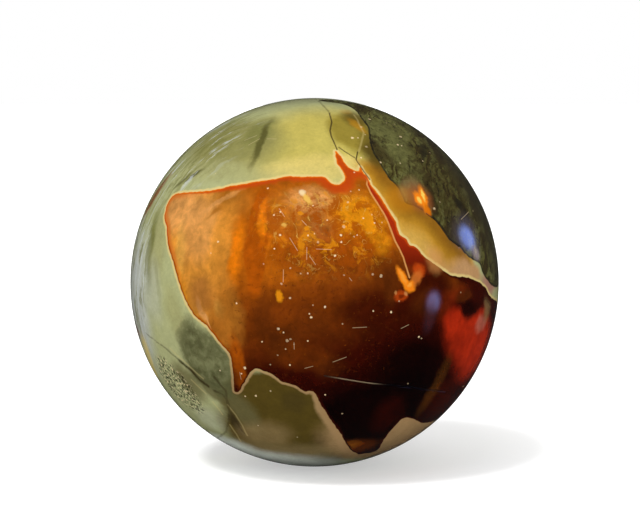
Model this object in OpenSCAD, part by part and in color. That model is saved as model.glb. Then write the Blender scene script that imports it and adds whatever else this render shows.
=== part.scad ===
// Polished jasper sphere: one ball, ground from one piece of stone.
// The origin is the middle of the ball, +Z is up and the face looks along -Y.
// A place on the ball is [turn, rise]: degrees to the right of the face, and
// degrees above the equator. The hairline cracks and the pocket of open pits
// are the flaws that the stone kept when it was polished.

/* [Ball] */
// Diameter of the ball
ball_d = 70; // [50:1:100]

/* [Open cracks] */
// Width of a crack's mouth
crack_w = 0.35; // [0.2:0.05:0.8]
// Depth of a crack's root below the surface
crack_depth = 0.3; // [0.15:0.05:0.8]

/* [Pitted pocket] */
// Turn of the pocket's middle from the face, where minus is to the left
pocket_turn = -56; // [-75:1:-35]
// Rise of the pocket's middle above the equator
pocket_rise = -30; // [-50:1:-10]
// Length of the pocket along the surface
pocket_length = 13; // [6:0.5:18]
// Width of the pocket along the surface
pocket_width = 9; // [4:0.5:14]
// Lean of the pocket's length from upright, where its top leans to the left
pocket_lean = 32; // [0:1:90]
// Number of open pits in the pocket
pit_count = 60; // [10:1:90]
// Mouth width of the widest pit
pit_w = 0.8; // [0.4:0.05:1.2]
// Depth of the deepest pit
pit_depth = 0.24; // [0.1:0.02:0.4]

/* [Hidden] */
$fn = 160;

ball_r = ball_d / 2;
// Degrees of arc that one millimetre takes on the surface
mm_arc = 180 / (PI * ball_r);
// How far a cutting shape stands out of the surface
cut_over = 0.5;
// How far each straight run of a crack reaches past its corner, so that runs join
crack_lap = 0.1;
// Turn from one pit to the next, which spreads the pits evenly
golden_turn = 137.5;
// Share of the widest pit's size that the smallest pit has
pit_least = 0.55;
// Turn that makes each pit's size differ from its neighbours'
pit_size_turn = 97;
// Number of flats round a pit's sphere where it is shown as a mesh
pit_flats = 32;

// The open cracks, each a list of the places it runs through
CRACKS = [
    // down from the crown
    [[12, 68], [11, 62], [8.5, 57.5], [8.5, 54.5], [10, 48.5]],
    // the fork above the vein
    [[11, 49.5], [13.5, 47.5], [17, 45]],
    [[19, 47.5], [17.2, 44.3], [19, 40], [20.5, 37]],
    // the edge of the pale band
    [[39, 25.2], [42, 23], [43.5, 21], [46, 17], [50, 14.5]],
    // the long hairline across the dark field
    [[3, -22], [8, -23], [13, -24], [18, -25], [25, -26], [34, -27.5], [44, -29.7], [54, -31.5]]
];

// Unit vector from the ball's middle to a place
function towards(place) =
    let (turn = place[0], rise = place[1])
    [sin(turn) * cos(rise), -cos(turn) * cos(rise), sin(rise)];

// Size of pit number i, as a share of the widest
function pit_share(i) = pit_least + (1 - pit_least) * abs(sin(i * pit_size_turn));

// Moves what is made at the face, at the surface, to a place
module at_place(turn, rise) {
    rotate([-rise, 0, turn])
        children();
}

// V-shaped cutter along the great circle from place a to place b
module crack_run(a, b) {
    from = towards(a);
    to = towards(b);
    across = cross(from, to);
    pole = across / norm(across);
    side = cross(pole, from);
    arc = asin(norm(across));
    lap = crack_lap * mm_arc;
    root = ball_r - crack_depth;
    half_out = crack_w / 2 * (crack_depth + cut_over) / crack_depth;
    multmatrix([
        [from[0], side[0], pole[0], 0],
        [from[1], side[1], pole[1], 0],
        [from[2], side[2], pole[2], 0],
        [0, 0, 0, 1]
    ])
        rotate([0, 0, -lap])
            rotate_extrude(angle = arc + 2 * lap)
                polygon([[root, 0], [ball_r + cut_over, half_out], [ball_r + cut_over, -half_out]]);
}

// Cutter for one crack, run by run
module crack(places) {
    for (i = [0 : len(places) - 2])
        crack_run(places[i], places[i + 1]);
}

// Cutter for one pit at the face: a sphere that leaves a round dish of that mouth and depth
module pit(share) {
    mouth = pit_w * share;
    depth = pit_depth * share;
    dish_r = (mouth * mouth / 4 + depth * depth) / (2 * depth);
    translate([0, depth - dish_r - ball_r, 0])
        sphere(r = dish_r, $fn = pit_flats);
}

// Cutter for the pocket: pits on a spiral that fills its oval
module pitted_pocket() {
    for (i = [0 : pit_count - 1]) {
        reach = sqrt((i + 0.5) / pit_count);
        across = reach * cos(i * golden_turn) * pocket_width / 2;
        along = reach * sin(i * golden_turn) * pocket_length / 2;
        at_place(pocket_turn, pocket_rise)
            rotate([0, -pocket_lean, 0])
                at_place(across * mm_arc, along * mm_arc)
                    pit(pit_share(i));
    }
}

module ball() {
    color("#96602a")
        difference() {
            sphere(d = ball_d);
            for (places = CRACKS)
                crack(places);
            pitted_pocket();
        }
}

ball();
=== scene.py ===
"""Polished jasper sphere: the ball's patterned stone and its open flaws, on a plain pale floor.

A place on the ball is (turn, rise): degrees to the right of the face, which looks along -Y,
and degrees above the equator. Sizes in the settings are in metres, as the scene is. Distances on
the stone's surface, the radii of the painted glints and the mesh's edge lengths are in millimetres.
"""

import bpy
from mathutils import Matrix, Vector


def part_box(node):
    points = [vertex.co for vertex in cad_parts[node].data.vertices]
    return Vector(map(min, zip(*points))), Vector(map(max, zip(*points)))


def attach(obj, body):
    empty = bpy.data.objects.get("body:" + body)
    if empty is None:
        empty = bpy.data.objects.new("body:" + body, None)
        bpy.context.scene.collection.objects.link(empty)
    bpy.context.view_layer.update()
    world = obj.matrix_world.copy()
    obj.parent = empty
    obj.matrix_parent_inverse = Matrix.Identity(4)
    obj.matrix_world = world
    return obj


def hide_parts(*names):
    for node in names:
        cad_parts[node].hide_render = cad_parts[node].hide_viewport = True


bl_info = {
    "name": "Polished Jasper Sphere",
    "version": (1, 0, 0),
    "blender": (4, 5, 0),
    "location": "View3D > Sidebar > Jasper",
    "description": "Builds a polished jasper sphere and the plain studio around it",
    "category": "Add Mesh",
}

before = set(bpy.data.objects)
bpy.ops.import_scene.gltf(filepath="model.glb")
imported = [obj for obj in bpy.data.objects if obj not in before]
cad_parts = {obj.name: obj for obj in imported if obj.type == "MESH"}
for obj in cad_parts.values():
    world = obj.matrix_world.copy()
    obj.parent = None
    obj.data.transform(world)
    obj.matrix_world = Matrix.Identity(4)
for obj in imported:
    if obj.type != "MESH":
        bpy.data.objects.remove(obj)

import math

import bmesh
import bpy
import numpy as np
from bpy.props import FloatProperty, FloatVectorProperty, IntProperty, PointerProperty
from mathutils import Matrix, Vector
from mathutils.kdtree import KDTree

LOW_CORNER, HIGH_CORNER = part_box("ball")
BALL_RADIUS = max(HIGH_CORNER - LOW_CORNER) / 2
MM = 0.001
ROOM_RADIUS = 3
WHITE = (1, 1, 1, 1)
BLACK = (0, 0, 0, 1)
# How fast a dab of colour fades towards the ball's far side
DAB_FADE = 1.4
# Distances to the painted glints and to the pits, counted in their own radii, are stored up to this
FAR_AWAY = 10

# The turn from one pit to the next, the turn that varies their sizes, and the smallest pit's
# share of the widest, as in the part's source
PIT_TURN = math.radians(137.5)
PIT_SIZE_TURN = math.radians(97)
PIT_LEAST = 0.55

# The bare ball's even mesh, and where it is finer: the reach round each detail, and the edge length there
BALL_SUBDIVISIONS = 7
FINE_LINE_DETAIL = (0.25, 0.1)
GLINT_DETAIL = (0.25, 0.11)
PIT_DETAIL = (0.9, 0.16)
EDGE_DETAIL = (0.4, 0.35)
# An edge is split where it is this many times too long, and may be longer the further out it lies
EDGE_SLACK = 1.5
EDGE_GROWTH = 0.9

# Where the stone's fields end. Each outline is closed and goes through these places.
AMBER_EDGE = (
    (-59.5, 27.5), (-58.5, 29.8), (-55.3, 31), (-49.8, 31.6), (-45.5, 32), (-41, 32.4), (-37.5, 33),
    (-34.3, 33.6), (-31.5, 34.4), (-26.6, 35.2), (-23, 35.8), (-20, 36.5), (-15.6, 37), (-13, 37.7),
    (-9.5, 38.2), (-5.4, 38.1), (0, 38.1), (3.5, 38), (5, 36.8), (6.5, 35.6), (8.4, 35.3), (10, 36.2),
    (11.3, 37.5), (10.7, 39.6), (10, 41.2), (8.9, 42.8), (8.8, 45), (8.8, 46.8), (9.3, 47.8), (11, 45.7),
    (12.2, 42.8), (13.4, 41.4), (15.3, 40.4), (17, 40), (18, 41.5), (18.6, 39.4), (20, 37.5), (20.2, 35),
    (22, 32.3), (23.4, 29.6), (24.3, 27.3), (25.8, 24.5), (26.5, 22), (26.6, 20), (27.6, 18.7), (29, 17.6),
    (30, 16), (31.6, 15.5), (32.7, 14.6), (34.2, 12.7), (36, 11.3), (38, 10), (40, 8.8), (41.7, 7.7),
    (44, 6.5), (46.7, 5.8), (50, 5.5), (52.8, 5), (55.5, 4.2), (59.6, 2.8), (63.5, 0.8), (66, -1),
    (69.8, -2.8), (75, -4), (81, -5.5), (87, -7), (93, -5.5), (100, -8), (106, -14), (109, -22),
    (107, -31), (100, -38), (92, -42), (82, -43.5), (73, -46), (65, -45.5), (56, -45), (50, -43.7),
    (45.5, -42), (41.3, -40.7), (38, -40), (36, -40.7), (35.6, -42), (35, -44.3), (34.5, -47.5),
    (35.4, -52), (39, -57.5), (37, -59.7), (31.5, -60), (28, -60), (25, -58.8), (19.3, -55.5),
    (14.2, -50), (10.3, -44.3), (7.2, -40.3), (5.1, -37), (3, -33.7), (1.4, -30.7), (0.4, -28.4),
    (-0.5, -27.2), (-1.9, -27.2), (-3, -27.4), (-4.7, -26.5), (-6.4, -25.2), (-8.2, -24.7), (-10.5, -24),
    (-13.2, -21.8), (-15, -21), (-18, -20), (-20.2, -21.3), (-21.1, -22.5), (-23.2, -25), (-25, -27.5),
    (-27.5, -28.6), (-27, -25), (-26.4, -22.5), (-26.3, -20), (-26, -17.5), (-26.8, -15), (-28.5, -13.3),
    (-31.2, -10), (-33.5, -7.6), (-37.5, -5), (-39.9, -2.3), (-41.5, 0), (-44.3, 5), (-47.2, 10),
    (-51.2, 15), (-54.4, 20), (-57.5, 22.5), (-58.8, 25),
)
FAR_AMBER_EDGE = (
    (146, 30), (153, 37), (163, 40), (172, 36), (181, 37), (190, 31), (197, 22), (206, 17), (213, 8),
    (211, -2), (203, -9), (198, -18), (189, -25), (180, -23), (174, -15), (166, -12), (158, -16),
    (150, -13), (145, -4), (138, 3), (135, 13), (139, 22),
)
MOSS_EDGE = (
    (11.5, 80.5), (25.5, 78.5), (38, 76), (40, 72.5), (37, 68), (33.5, 63.5), (32, 58.5), (29, 54.5),
    (26.5, 50), (26, 47), (26.7, 44), (27, 41.5), (28, 37.7), (30.2, 34.5), (31.2, 31.3), (31.5, 29),
    (33, 28.2), (35, 27.8), (37, 26.7), (40.5, 24.5), (43.5, 21), (46, 17), (50, 14.5), (51.5, 13),
    (55, 10.5), (60, 8.8), (61.5, 6), (64.5, 3.5), (70, 1), (79, 0), (88, 3), (97, 2), (106, 8),
    (113, 17), (121, 22), (127, 32), (125, 43), (115, 52), (104, 60), (88, 67), (75, 74), (52, 81),
    (15, 83),
)
FAR_MOSS_EDGE = (
    (222, -20), (232, -12), (244, -14), (254, -22), (262, -34), (258, -46), (240, -54), (214, -57),
    (196, -50), (190, -40), (199, -33), (211, -30),
)
SHADE_EDGE = (
    (-43.5, -9), (-46, -13), (-46, -18), (-44, -24), (-40, -27), (-34, -31), (-28.5, -30), (-26, -22),
    (-25, -17), (-28, -13), (-31, -10), (-35.5, -8.5), (-40.5, -6),
)
SELVAGE_EDGE = (
    (18.4, 38.4), (19.5, 36.8), (18.8, 35.3), (19.4, 32.8), (20.1, 31.1), (21.2, 28.8), (22.8, 25.5),
    (23.6, 23), (24.3, 20), (25, 17.3), (26, 15.2), (27.1, 12.5), (27.6, 10.3), (28.6, 6.7), (34, 6.8),
    (38, 7), (42, 9), (36, 15), (31, 20), (28, 28), (24, 36), (20, 41),
)

# Fine lines, each a list of the places it runs through
CRACKS = (
    ((12, 68), (11, 62), (8.5, 57.5), (8.5, 54.5), (10, 48.5)),
    ((11, 49.5), (13.5, 47.5), (17, 45)),
    ((19, 47.5), (17.2, 44.3), (19, 40), (20.5, 37)),
    ((39, 25.2), (42, 23), (43.5, 21), (46, 17), (50, 14.5)),
    ((3, -22), (8, -23), (13, -24), (18, -25), (25, -26), (34, -27.5), (44, -29.7), (54, -31.5)),
)
PALE_LINES = (
    ((18.4, 38.4), (19.5, 36.8), (18.8, 35.3), (19.4, 32.8), (20.1, 31.1), (21.2, 28.8), (22.8, 25.5),
     (23.6, 23), (24.3, 20), (25, 17.3), (26, 15.2), (27.1, 12.5), (27.6, 10.3), (28.6, 6.7)),
    ((-33.5, -4.5), (-32.2, -8), (-30.8, -11.5)),
    ((31, 66.5), (29.5, 63), (27.5, 59.5), (27, 56), (24, 53), (21.5, 50), (19.5, 47.5)),
    ((-45, -26), (-40.5, -30.5)),
    ((-51, -16.2), (-44.5, -20.5), (-39, -25)),
    ((-32.5, -34), (-31, -38), (-30.5, -42.5), (-31.5, -48)),
    ((-37, -43), (-37.5, -48), (-39.5, -52.5)),
    ((-39, -33.5), (-38, -36), (-37.5, -38.5)),
)
SEAMS = (
    ((-66, -13), (-60, -14.5), (-53.5, -16.5), (-49, -19), (-43.5, -22.5), (-41, -25.5), (-38, -27.5)),
    ((-36, -29), (-33, -30), (-32, -32), (-32, -34), (-34, -38), (-38, -43), (-43.5, -47.5), (-61, -53.5)),
    ((-34, -24), (-32.5, -26.5), (-31, -28.5), (-32, -32), (-33, -36), (-32.5, -40.5), (-32.5, -47)),
    ((7.5, 80.5), (10, 74), (12, 68)),
    ((150, -30), (162, -34), (176, -33), (190, -38)),
    ((-120, 20), (-112, 8), (-108, -6), (-100, -22)),
    ((120, 60), (140, 62), (165, 58), (190, 60)),
)
SCRATCHES = (
    ((-2.3, 16), (-2.3, 12.5)), ((-1.5, 13.5), (0.3, 11)), ((-9, 9.5), (-9, 6)), ((-7.5, 18.7), (-5, 15)),
    ((0.5, 15.5), (5, 15.3)), ((10, 7.2), (10.7, 6.3)), ((11, -7.2), (15.2, -7.1)), ((26, -8), (28.5, -7)),
    ((5.5, -17.5), (9.5, -16)), ((-3, -19.5), (-0.5, -18.8)), ((-11.5, 27.5), (-9.5, 25)),
    ((-4, 24), (-2.5, 22.5)), ((-6, -11.5), (-6, -13.5)), ((-36, 52), (-31, 54.5)), ((-32, 50), (-28, 53)),
    ((-24, 53), (-19, 53)), ((55, 22.5), (62, 24.5)), ((-24, -21.5), (-24, -24)),
)

# Painted highlights: light specks for the glints of tiny polishing pits. Their number in all, the radii of
# those scattered on the far side, and how far back that side starts, as a share of the ball's radius
GLINT_COUNT = 190
FAR_GLINT_RADII = (0.14, 0.17, 0.23)
FAR_SIDE = 0.1
# Where the other painted glints lie, by their radius
GLINTS = {
    0.27: (
        (9, 22), (19.5, 7.5), (24, 49.5), (-10.5, -7.5), (-8, -11), (19, 53.5), (40, 63.5), (49, 53.5),
        (-22, -20), (43, 26.5),
    ),
    0.2: (
        (8, 19.5), (8, 17.5), (17, 8), (27.5, 43), (19.5, 45), (11, 29.5), (-7, 1.5), (-10.5, 19.5),
        (-9.5, 5.5), (-30.5, 17), (28, 59), (-1, -4), (-7, -10.5), (1, 17.5), (6, 13.5), (32.5, -11),
        (-20, -29.5), (42, 50), (3, -1), (22.5, -3),
    ),
    0.15: (
        (-16.5, 34), (-40.5, 38.5), (-32.5, 13.5), (-13, 25.5), (-11, 26.5), (-0.5, 28.5), (-2, 19.5),
        (0, 20), (-15, 11), (-4, 8.5), (-2, 8.5), (-7, 10), (-12, 15.5), (13, 19.5), (12, 19), (19, 23),
        (15.5, 24.5), (18.5, 25.5), (21.5, 23), (12.5, 33), (15.5, 33.5), (15, 39.5), (4, 24), (8.5, 8),
        (22, 53.5), (27, 55), (57.5, 60), (51, 61), (44, 49.5), (60.5, 46), (50, 43), (36.5, 42.5),
        (47, 28.5), (66, 24.5), (-23, -0.5), (-0.5, -0.5), (-1.5, -3), (-9, -8.5), (-6, -12), (-15.5, -11.5),
        (-11, -15.5), (-8.5, -13.5), (-13.5, -18.5), (-7.5, -18.5), (-23.5, -22), (-24, -30), (-31, -21.5),
        (17, -2.5), (8, -6), (33.5, -11.5), (25, 0), (48.5, 1), (3.5, -28.5), (32, -26), (10, -36),
        (-2, -11), (-14.5, -27.5), (-23, -42), (-7.5, -47), (68, -31.5),
    ),
}

# Soft dabs of colour: colour, turn, rise, half width, half height, lean, softness, strength.
# A dab's sizes are degrees of arc. Its lean takes its top to the left. Its softness is the share
# of its radius over which it fades.
GROUND_DABS = (
    ("straw", 6, 54, 24, 17, 0, 0.9, 1),
    ("primrose", 0, 41.5, 14, 4.5, 0, 1, 0.6),
    ("sedge", -44, 52, 18, 11, 0, 0.7, 0.95),
    ("lichen", -58, 14, 5, 12, 10, 1, 0.9),
    ("lichen", -46, -5, 3.5, 8, 15, 1, 0.85),
    ("lichen", -42, 40, 16, 4, 0, 1, 0.8),
    ("pewter", 0, 86, 22, 8, 0, 1, 0.8),
    ("olive", -31, 57, 4, 7, 0, 1, 0.7),
    ("moss", -27, 52, 1.2, 10, 7, 1, 0.9),
    ("moss", -52, 37.5, 0.9, 4, -48, 1, 0.9),
    ("moss", -58, 35, 0.8, 4, -40, 1, 0.8),
    # Painted reflection: the whitish dabs on the left flank stand for the room mirrored in the polish.
    ("ash_and_sheen", -57, 1, 4, 9, 12, 1, 0.35),
    ("olive", -62, 13, 2.2, 12, 8, 1, 0.9),
    ("olive", -55, 4, 1, 6, 20, 1, 0.3),
    ("ash_and_sheen", -72, -4, 11, 19, 0, 0.9, 0.95),
    ("rust", -76, 29, 2.5, 8, -20, 0.9, 0.9),
    ("ash_and_sheen", -47, -42, 7, 5, 30, 1, 0.25),
    ("primrose", -73, -22, 4, 8, -20, 0.8, 0.9),
    ("rust", -80, -14, 5, 2.5, 0, 0.8, 0.9),
    ("loam", -6, -34, 24, 14, 0, 0.2, 1),
    ("loam", -6, -48, 25, 18, 0, 0.3, 1),
    ("mould", -27, -37, 4, 9, 10, 0.9, 1),
    ("mould", -36, -30, 9, 2.5, -45, 0.9, 0.8),
    ("bark", -33.5, -43, 2, 6, 5, 1, 0.8),
    ("clay", -23, -47, 9, 6, 20, 1, 0.7),
    ("mould", -47, -27, 4, 7, 35, 1, 0.8),
    ("mould", -14, -61, 22, 8, 0, 1, 1),
    ("bark", 7, -49, 5, 5, 20, 1, 0.5),
    ("bark", -7, -31, 4, 4, 0, 1, 0.35),
    ("clay", -15, -58, 16, 6, 0, 1, 0.6),
    # Painted reflection: the pale grey-green at the foot stands for the bright floor mirrored there and the
    # light it throws up.
    ("floor_reflection", -60, -60, 12, 8, 10, 0.8, 1),
    ("floor_reflection", -42, -67, 14, 9, 0, 0.8, 1),
    ("floor_reflection", -17, -70, 13, 9, 0, 1, 1),
    ("beige", 50, -52, 30, 14, 0, 0.4, 1),
    ("wheat", 36, 22, 14, 25, 42, 0.2, 1),
    ("khaki", 21, 57, 7, 10, 0, 0.5, 0.95),
    ("loam", 30, 53, 4, 5, 0, 1, 0.6),
    ("loam", 29, 64, 4, 5, 0, 1, 0.8),
    ("loam", 26, 45, 2.5, 5, 10, 1, 0.9),
    ("ochre", 25.5, 60, 1.3, 4, 14, 1, 0.7),
    ("ochre", 26, 69, 2, 2, 0, 1, 0.3),
    ("primrose", 14, 43, 3, 3, 0, 1, 0.8),
    ("rose", 70, 3, 10, 4, 10, 0.8, 1),
    ("rose", 42, 10, 3, 8, 45, 1, 0.4),
    ("straw", 235, 40, 26, 14, 20, 0.7, 0.9),
    ("lichen", 250, 5, 22, 20, 0, 0.7, 0.8),
    ("olive", 205, 55, 24, 10, 0, 0.7, 0.8),
    ("loam", 150, -45, 26, 14, 10, 0.6, 0.9),
    ("moss", 226, 25, 2, 15, 20, 0.8, 0.9),
    ("ochre", 128, -12, 10, 9, 0, 0.8, 0.8),
    ("biscuit", 120, -40, 12, 7, 20, 0.8, 0.7),
)
MOSS_DABS = (
    ("bark", 60, 33, 20, 18, 20, 0.9, 0.5),
    ("fern", 36, 55, 6, 16, 15, 0.8, 0.7),
    ("fern", 60, 60, 16, 6, 30, 0.8, 0.5),
    ("soot", 82, 25, 14, 30, 0, 0.8, 0.7),
    ("bark", 29, 49, 2, 5, 10, 0.9, 0.8),
    ("coal", 56, 47, 5, 1.2, 35, 0.8, 0.8),
    ("coal", 58, 27, 3, 2, -30, 0.8, 0.9),
    ("fern", 105, 40, 12, 14, 20, 0.8, 0.8),
    ("fern", 235, -30, 18, 8, 20, 0.8, 0.8),
    ("bark", 215, -42, 14, 9, 0, 0.8, 0.7),
)
AMBER_DABS = (
    ("honey", -45, 17, 15, 22, 12, 0.4, 1),
    ("topaz", -45, 15, 2, 9, 12, 1, 0.35),
    ("peach", -38, 20, 7, 9, -10, 1, 0.6),
    ("honey", -38, 0, 6.5, 9, 22, 0.8, 0.9),
    ("gold", -43, 2, 2.5, 9, 28, 1, 0.5),
    ("bronze", -28, 29, 6, 4.5, 0, 1, 0.7),
    ("peach", -33.5, 29, 0.9, 7, -55, 0.8, 0.7),
    ("topaz", -28.5, -2.5, 1.8, 3.2, 0, 1, 0.55),
    ("peach", -34.5, -3.5, 1, 3.5, 20, 0.9, 0.8),
    ("plum", -34, 2, 5, 5, 0, 1, 0.5),
    ("bronze", -31, 28, 0.7, 6, -55, 1, 0.8),
    ("honey", -29, 14, 4, 15, 0, 1, 0.8),
    ("peach", -50, 26, 9, 7, 0, 1, 0.8),
    ("orange", -24, 14, 2, 9, 0, 1, 0.95),
    ("bronze", -25, -2, 3.5, 9, 10, 1, 0.9),
    ("orange", -10, 14, 7, 8, 0, 1, 0.35),
    ("russet", -17.8, 18, 3, 16, 0, 0.3, 0.9),
    ("orange", -16.3, 24, 1.2, 6, 0, 0.9, 1),
    ("bronze", -4, 23, 8, 6, 0, 1, 0.6),
    ("bronze", 2, 31.5, 12, 4, 0, 0.8, 0.9),
    ("peach", -1, 30.5, 6, 4, 0, 1, 0.8),
    ("umber", 1, 13, 14, 5, 0, 1, 0.6),
    ("gold", 13, 24.5, 8, 7, 10, 0.9, 1),
    ("gold", 19.5, 19, 3, 6, 15, 1, 0.8),
    ("mahogany", 22, 9, 5, 5, 0, 1, 0.5),
    ("plum", 3, 22, 4, 4, 0, 1, 0.6),
    ("russet", 5, 17.5, 4, 4, 0, 1, 0.4),
    ("russet", 11, 16, 7, 4.5, 0, 1, 0.7),
    ("russet", -8, 17, 5, 4, 0, 1, 0.4),
    ("bronze", -28, -9, 4, 7, 15, 1, 0.8),
    ("russet", -24, -19, 2.2, 9, 5, 0.8, 0.9),
    ("umber", -27, -23, 3, 3.5, 0, 1, 0.6),
    ("mahogany", -15, -5, 3, 6, 0, 1, 0.6),
    ("mahogany", -9, -12, 5, 5, 0, 1, 0.8),
    ("mahogany", 5, -19, 5, 4, 0, 1, 0.7),
    ("maroon", -6, -23, 10, 3.5, -12, 0.9, 0.65),
    ("mahogany", -1, -5, 5, 5, 0, 1, 0.4),
    ("umber", -4, -16, 8, 4, 0, 1, 0.5),
    ("maroon", 18, -2, 11, 6, 0, 1, 0.85),
    ("maroon", 34, 2, 10, 7, 20, 0.7, 0.9),
    ("mahogany", 34, -1, 5, 4, 0, 1, 0.6),
    ("mahogany", 22, 4.5, 2.2, 5, 0, 1, 0.8),
    ("maroon", 33, -11, 17, 6, 0, 1, 0.9),
    ("maroon", 20, -20, 12, 8, 0, 0.9, 0.9),
    ("night", 33, -20, 14, 9, 0, 1, 0.9),
    ("night", 28, -40, 27, 18, 0, 0.6, 0.95),
    ("maroon", 29, -38, 5, 7, 0, 1, 0.5),
    ("maroon", 62, -34, 14, 10, 0, 0.7, 0.9),
    ("bronze", 45.5, -29, 2.2, 11, -8, 1, 0.12),
    ("umber", 20, -53.5, 7, 4, 0, 1, 0.55),
    ("bronze", 16, -53, 4, 3, 30, 1, 0.3),
    ("scarlet", 59, -14, 9.5, 17, 50, 0.9, 1),
    ("maroon", 56, -1.5, 13, 5, 12, 0.8, 1),
    ("scarlet", 46.5, -8, 4, 5, 40, 0.8, 0.85),
    ("mahogany", 50, 0, 4, 2, 0, 1, 0.7),
    ("night", 53, -4, 4, 2, 0, 1, 0.7),
    ("clay", 66, -4, 3, 5, 0, 1, 0.6),
    ("rose", 62, -10, 4, 2.5, 0, 1, 0.4),
    ("honey", 170, 15, 26, 20, 0, 0.8, 0.9),
    ("gold", 190, 5, 10, 12, 0, 0.8, 0.8),
    ("umber", 150, 0, 12, 12, 0, 0.8, 0.9),
    ("maroon", 185, -15, 10, 8, 0, 0.8, 0.9),
)
SPOT_DABS = (
    ("clay", 35.5, 33.5, 5, 3, 38, 0.8, 0.5),
    ("gold", 31, 30, 6, 4, 0, 1, 0.35),
    ("bark", 48.5, 17.5, 3, 3, 0, 1, 0.35),
    ("peach", 38.5, 11, 3, 3.5, 0, 1, 0.4),
    ("rust", 38.5, 30, 4, 4.5, 0, 1, 0.8),
    # The brightest spots: amber inclusions with a painted glow, and near-white painted highlights at their
    # cores.
    ("flame", 39.8, 29.8, 1.3, 4, -8, 0.8, 0.95),
    ("flame", 37.6, 30, 1.5, 2.3, 10, 0.8, 0.95),
    ("orange", 40, 26.2, 1, 1.8, 0, 0.9, 0.9),
    ("highlight_core", 37.8, 29.6, 0.7, 1, 0, 0.9, 1),
    ("highlight_core", 40.2, 31, 0.5, 2, -8, 0.9, 1),
    # The same painted glow and highlight on the spots at the V.
    ("flame", 26.5, 6.5, 1.1, 3.6, 28, 0.8, 1),
    ("ember", 32, 8.5, 2, 2, -30, 0.9, 0.9),
    ("ginger", 30.8, 6.2, 1.5, 2.8, -40, 0.8, 0.8),
    ("flame", 28.6, 4, 1.7, 1.6, 0, 0.9, 1),
    ("highlight_core", 26.3, 7, 0.5, 2.2, 28, 1, 0.25),
    ("highlight_core", 28.6, 4.6, 0.7, 0.6, 0, 1, 0.3),
    ("ember", 25.6, 1.4, 2, 1.6, 0, 0.7, 0.7),
    ("maroon", 25.7, 1.3, 0.8, 0.7, 0, 0.9, 0.6),
    ("peach", 24, 2.5, 0.5, 0.6, 0, 1, 0.5),
    ("peach", 27, 2, 0.5, 0.6, 0, 1, 0.6),
    ("gold", -10, 2, 0.9, 1.7, 12, 0.8, 1),
    ("topaz", -2.8, 30.9, 0.8, 2.3, 40, 1, 1),
    # A painted glint.
    ("glint", -4.2, 32.6, 1, 0.8, 0, 1, 0.8),
    ("topaz", -9.5, 22.5, 0.6, 0.6, 0, 1, 0.7),
    ("gold", -4.5, 26, 0.8, 0.6, 0, 0.8, 0.9),
    ("gold", -2.5, 21.5, 0.7, 0.7, 0, 0.8, 0.9),
)

# What the polish mirrors, laid on the room like dabs: light, turn, rise and so on
WINDOWS = (
    ((0.5, 0.5, 0.9), 116, 13, 13, 6.5, -14, 1, 0.7),
    ((2, 2.9, 7.6), 116.5, 12.3, 7.3, 3.7, -20, 0.9, 1),
    ((3, 2.5, 2.7), 121.5, 5.8, 4, 2, -20, 1, 0.8),
    ((2.4, 2.8, 6.4), 77, -8, 4.5, 4.5, 0, 1, 1),
    ((0.3, 0.3, 0.5), 76, -15, 4, 7, 0, 1, 0.7),
)


def linear(red, green, blue):
    """Light values of a colour that is written as 0 to 255, as on a screen."""
    shares = [value / 255 for value in (red, green, blue)]
    return tuple(s / 12.92 if s <= 0.04045 else ((s + 0.055) / 1.055) ** 2.4 for s in shares)


def colour(name, description, *screen):
    """Colour property with its default written as 0 to 255."""
    return FloatVectorProperty(
        name=name, description=description, subtype="COLOR", size=3, min=0, max=1, default=linear(*screen)
    )


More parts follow.
